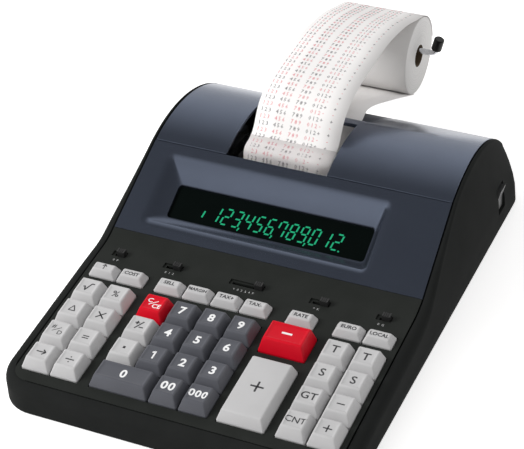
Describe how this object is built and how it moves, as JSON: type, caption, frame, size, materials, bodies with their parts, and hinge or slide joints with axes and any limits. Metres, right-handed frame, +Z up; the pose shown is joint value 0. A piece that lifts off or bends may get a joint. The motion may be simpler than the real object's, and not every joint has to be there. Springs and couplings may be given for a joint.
{
  "type": "printing calculator",
  "caption": "Desktop printing calculator with sprung keys, slide switches, a sunken display and a paper roll held behind its curved cover.",
  "frame": {"origin": "on the table, below the middle of the whole machine with its paper", "axes": "+Z up, -Y towards the user, +X to the user's right"},
  "size_m": [0.216, 0.3903, 0.0941],
  "materials": {
    "case_black": "fine moulded grain",
    "panel_charcoal": "fine moulded grain",
    "cover_slate": "satin",
    "window_dark": "polished filter",
    "tube_glass": "clear",
    "board_green": "lacquered",
    "frame_steel": "zinc plated",
    "frame_black": "satin black",
    "core_iron": "varnished laminations",
    "roller_rubber": "matte",
    "foot_rubber": "matte",
    "drum_grey": "satin",
    "ink_felt": "soft, inked",
    "clear_bar": "clear",
    "paper_white": "uncoated",
    "wire_chrome": "bright",
    "rocker_grey": "satin",
    "switch_black": "satin",
    "key_light": "satin moulding",
    "key_dark": "satin moulding",
    "key_red": "satin moulding"
  },
  "bodies": {
    "case": {"base_case": "case_black", "keyboard_panel": "panel_charcoal", "display_bezel": "cover_slate", "printer_cover": "cover_slate", "display_window": "window_dark", "display_tube": "tube_glass", "main_board": "board_green", "printer_frame": "frame_black", "print_motor": "frame_steel", "tear_bar": "clear_bar", "roll_holder": "wire_chrome", "paper_tape": "paper_white", "transformer": "core_iron", "feet": "foot_rubber", "case_screws": "frame_steel"},
    "key_root": {"key_root": "key_light"},
    "key_delta": {"key_delta": "key_light"},
    "key_sharp": {"key_sharp": "key_light"},
    "key_back": {"key_back": "key_light"},
    "key_percent": {"key_percent": "key_light"},
    "key_times": {"key_times": "key_light"},
    "key_equals": {"key_equals": "key_light"},
    "key_divide": {"key_divide": "key_light"},
    "key_clear": {"key_clear": "key_red"},
    "key_sign": {"key_sign": "key_light"},
    "key_point": {"key_point": "key_light"},
    "key_0": {"key_0": "key_dark"},
    "key_7": {"key_7": "key_dark"},
    "key_4": {"key_4": "key_dark"},
    "key_1": {"key_1": "key_dark"},
    "key_8": {"key_8": "key_dark"},
    "key_5": {"key_5": "key_dark"},
    "key_2": {"key_2": "key_dark"},
    "key_00": {"key_00": "key_dark"},
    "key_9": {"key_9": "key_dark"},
    "key_6": {"key_6": "key_dark"},
    "key_3": {"key_3": "key_dark"},
    "key_000": {"key_000": "key_dark"},
    "key_minus": {"key_minus": "key_red"},
    "key_plus": {"key_plus": "key_light"},
    "key_total": {"key_total": "key_light"},
    "key_subtotal": {"key_subtotal": "key_light"},
    "key_grand": {"key_grand": "key_light"},
    "key_count": {"key_count": "key_light"},
    "key_total_2": {"key_total_2": "key_light"},
    "key_subtotal_2": {"key_subtotal_2": "key_light"},
    "key_memory_minus": {"key_memory_minus": "key_light"},
    "key_memory_plus": {"key_memory_plus": "key_light"},
    "function_keys_left": {"function_keys_left": "key_light"},
    "function_keys_right": {"function_keys_right": "key_light"},
    "switch_round": {"switch_round": "switch_black"},
    "switch_print": {"switch_print": "switch_black"},
    "switch_point": {"switch_point": "switch_black"},
    "switch_total": {"switch_total": "switch_black"},
    "switch_rate": {"switch_rate": "switch_black"},
    "power_rocker": {"power_rocker": "rocker_grey"},
    "paper_roll": {"paper_roll": "paper_white"},
    "platen_roller": {"platen_roller": "roller_rubber"},
    "print_drum": {"print_drum": "drum_grey"},
    "ink_roller": {"ink_roller": "ink_felt"}
  },
  "joints": [
    {"name": "key_root_press", "type": "slide", "parent": "case", "child": "key_root", "axis": [0, -0.0872, 0.9962], "range_m": [-0.0028, 0], "stiffness_N_per_m": 120, "springref_m": 0.0025},
    {"name": "key_delta_press", "type": "slide", "parent": "case", "child": "key_delta", "axis": [0, -0.0872, 0.9962], "range_m": [-0.0028, 0], "stiffness_N_per_m": 120, "springref_m": 0.0025},
    {"name": "key_sharp_press", "type": "slide", "parent": "case", "child": "key_sharp", "axis": [0, -0.0872, 0.9962], "range_m": [-0.0028, 0], "stiffness_N_per_m": 120, "springref_m": 0.0025},
    {"name": "key_back_press", "type": "slide", "parent": "case", "child": "key_back", "axis": [0, -0.0872, 0.9962], "range_m": [-0.0028, 0], "stiffness_N_per_m": 120, "springref_m": 0.0025},
    {"name": "key_percent_press", "type": "slide", "parent": "case", "child": "key_percent", "axis": [0, -0.0872, 0.9962], "range_m": [-0.0028, 0], "stiffness_N_per_m": 120, "springref_m": 0.0025},
    {"name": "key_times_press", "type": "slide", "parent": "case", "child": "key_times", "axis": [0, -0.0872, 0.9962], "range_m": [-0.0028, 0], "stiffness_N_per_m": 120, "springref_m": 0.0025},
    {"name": "key_equals_press", "type": "slide", "parent": "case", "child": "key_equals", "axis": [0, -0.0872, 0.9962], "range_m": [-0.0028, 0], "stiffness_N_per_m": 120, "springref_m": 0.0025},
    {"name": "key_divide_press", "type": "slide", "parent": "case", "child": "key_divide", "axis": [0, -0.0872, 0.9962], "range_m": [-0.0028, 0], "stiffness_N_per_m": 120, "springref_m": 0.0025},
    {"name": "key_clear_press", "type": "slide", "parent": "case", "child": "key_clear", "axis": [0, -0.0872, 0.9962], "range_m": [-0.0028, 0], "stiffness_N_per_m": 120, "springref_m": 0.0025},
    {"name": "key_sign_press", "type": "slide", "parent": "case", "child": "key_sign", "axis": [0, -0.0872, 0.9962], "range_m": [-0.0028, 0], "stiffness_N_per_m": 120, "springref_m": 0.0025},
    {"name": "key_point_press", "type": "slide", "parent": "case", "child": "key_point", "axis": [0, -0.0872, 0.9962], "range_m": [-0.0028, 0], "stiffness_N_per_m": 120, "springref_m": 0.0025},
    {"name": "key_0_press", "type": "slide", "parent": "case", "child": "key_0", "axis": [0, -0.0872, 0.9962], "range_m": [-0.0028, 0], "stiffness_N_per_m": 120, "springref_m": 0.0025},
    {"name": "key_7_press", "type": "slide", "parent": "case", "child": "key_7", "axis": [0, -0.0872, 0.9962], "range_m": [-0.0028, 0], "stiffness_N_per_m": 120, "springref_m": 0.0025},
    {"name": "key_4_press", "type": "slide", "parent": "case", "child": "key_4", "axis": [0, -0.0872, 0.9962], "range_m": [-0.0028, 0], "stiffness_N_per_m": 120, "springref_m": 0.0025},
    {"name": "key_1_press", "type": "slide", "parent": "case", "child": "key_1", "axis": [0, -0.0872, 0.9962], "range_m": [-0.0028, 0], "stiffness_N_per_m": 120, "springref_m": 0.0025},
    {"name": "key_8_press", "type": "slide", "parent": "case", "child": "key_8", "axis": [0, -0.0872, 0.9962], "range_m": [-0.0028, 0], "stiffness_N_per_m": 120, "springref_m": 0.0025},
    {"name": "key_5_press", "type": "slide", "parent": "case", "child": "key_5", "axis": [0, -0.0872, 0.9962], "range_m": [-0.0028, 0], "stiffness_N_per_m": 120, "springref_m": 0.0025},
    {"name": "key_2_press", "type": "slide", "parent": "case", "child": "key_2", "axis": [0, -0.0872, 0.9962], "range_m": [-0.0028, 0], "stiffness_N_per_m": 120, "springref_m": 0.0025},
    {"name": "key_00_press", "type": "slide", "parent": "case", "child": "key_00", "axis": [0, -0.0872, 0.9962], "range_m": [-0.0028, 0], "stiffness_N_per_m": 120, "springref_m": 0.0025},
    {"name": "key_9_press", "type": "slide", "parent": "case", "child": "key_9", "axis": [0, -0.0872, 0.9962], "range_m": [-0.0028, 0], "stiffness_N_per_m": 120, "springref_m": 0.0025},
    {"name": "key_6_press", "type": "slide", "parent": "case", "child": "key_6", "axis": [0, -0.0872, 0.9962], "range_m": [-0.0028, 0], "stiffness_N_per_m": 120, "springref_m": 0.0025},
    {"name": "key_3_press", "type": "slide", "parent": "case", "child": "key_3", "axis": [0, -0.0872, 0.9962], "range_m": [-0.0028, 0], "stiffness_N_per_m": 120, "springref_m": 0.0025},
    {"name": "key_000_press", "type": "slide", "parent": "case", "child": "key_000", "axis": [0, -0.0872, 0.9962], "range_m": [-0.0028, 0], "stiffness_N_per_m": 120, "springref_m": 0.0025},
    {"name": "key_minus_press", "type": "slide", "parent": "case", "child": "key_minus", "axis": [0, -0.0872, 0.9962], "range_m": [-0.0028, 0], "stiffness_N_per_m": 120, "springref_m": 0.0025},
    {"name": "key_plus_press", "type": "slide", "parent": "case", "child": "key_plus", "axis": [0, -0.0872, 0.9962], "range_m": [-0.0028, 0], "stiffness_N_per_m": 120, "springref_m": 0.0025},
    {"name": "key_total_press", "type": "slide", "parent": "case", "child": "key_total", "axis": [0, -0.0872, 0.9962], "range_m": [-0.0028, 0], "stiffness_N_per_m": 120, "springref_m": 0.0025},
    {"name": "key_subtotal_press", "type": "slide", "parent": "case", "child": "key_subtotal", "axis": [0, -0.0872, 0.9962], "range_m": [-0.0028, 0], "stiffness_N_per_m": 120, "springref_m": 0.0025},
    {"name": "key_grand_press", "type": "slide", "parent": "case", "child": "key_grand", "axis": [0, -0.0872, 0.9962], "range_m": [-0.0028, 0], "stiffness_N_per_m": 120, "springref_m": 0.0025},
    {"name": "key_count_press", "type": "slide", "parent": "case", "child": "key_count", "axis": [0, -0.0872, 0.9962], "range_m": [-0.0028, 0], "stiffness_N_per_m": 120, "springref_m": 0.0025},
    {"name": "key_total_2_press", "type": "slide", "parent": "case", "child": "key_total_2", "axis": [0, -0.0872, 0.9962], "range_m": [-0.0028, 0], "stiffness_N_per_m": 120, "springref_m": 0.0025},
    {"name": "key_subtotal_2_press", "type": "slide", "parent": "case", "child": "key_subtotal_2", "axis": [0, -0.0872, 0.9962], "range_m": [-0.0028, 0], "stiffness_N_per_m": 120, "springref_m": 0.0025},
    {"name": "key_memory_minus_press", "type": "slide", "parent": "case", "child": "key_memory_minus", "axis": [0, -0.0872, 0.9962], "range_m": [-0.0028, 0], "stiffness_N_per_m": 120, "springref_m": 0.0025},
    {"name": "key_memory_plus_press", "type": "slide", "parent": "case", "child": "key_memory_plus", "axis": [0, -0.0872, 0.9962], "range_m": [-0.0028, 0], "stiffness_N_per_m": 120, "springref_m": 0.0025},
    {"name": "function_keys_left_press", "type": "slide", "parent": "case", "child": "function_keys_left", "axis": [0, -0.0872, 0.9962], "range_m": [-0.0028, 0], "stiffness_N_per_m": 720, "springref_m": 0.0025},
    {"name": "function_keys_right_press", "type": "slide", "parent": "case", "child": "function_keys_right", "axis": [0, -0.0872, 0.9962], "range_m": [-0.0028, 0], "stiffness_N_per_m": 360, "springref_m": 0.0025},
    {"name": "switch_round_slide", "type": "slide", "parent": "case", "child": "switch_round", "axis": [1, 0, 0], "range_m": [-0.0032, 0]},
    {"name": "switch_print_slide", "type": "slide", "parent": "case", "child": "switch_print", "axis": [1, 0, 0], "range_m": [-0.0064, 0]},
    {"name": "switch_point_slide", "type": "slide", "parent": "case", "child": "switch_point", "axis": [1, 0, 0], "range_m": [-0.016, 0]},
    {"name": "switch_total_slide", "type": "slide", "parent": "case", "child": "switch_total", "axis": [1, 0, 0], "range_m": [-0.0064, 0]},
    {"name": "switch_rate_slide", "type": "slide", "parent": "case", "child": "switch_rate", "axis": [1, 0, 0], "range_m": [-0.0032, 0]},
    {"name": "power_rocker_tip", "type": "hinge", "parent": "case", "child": "power_rocker", "pos_m": [0.10262, 0.07028, 0.022], "axis": [0, 1, 0], "range_deg": [-14, 0]},
    {"name": "paper_roll_spin", "type": "hinge", "parent": "case", "child": "paper_roll", "pos_m": [-0.0125, 0.16728, 0.0525], "axis": [1, 0, 0], "continuous": true},
    {"name": "platen_roller_spin", "type": "hinge", "parent": "case", "child": "platen_roller", "pos_m": [-0.0125, 0.01627, 0.046], "axis": [1, 0, 0], "continuous": true},
    {"name": "print_drum_spin", "type": "hinge", "parent": "case", "child": "print_drum", "pos_m": [-0.0125, 0.00667, 0.02937], "axis": [1, 0, 0], "continuous": true},
    {"name": "ink_roller_spin", "type": "hinge", "parent": "case", "child": "ink_roller", "pos_m": [-0.0125, -0.00771, 0.02414], "axis": [1, 0, 0], "continuous": true}
  ],
  "couplings": [
    {"joint": "platen_roller_spin", "follows": "paper_roll_spin", "ratio": 3.1765},
    {"joint": "ink_roller_spin", "follows": "print_drum_spin", "ratio": -2}
  ]
}
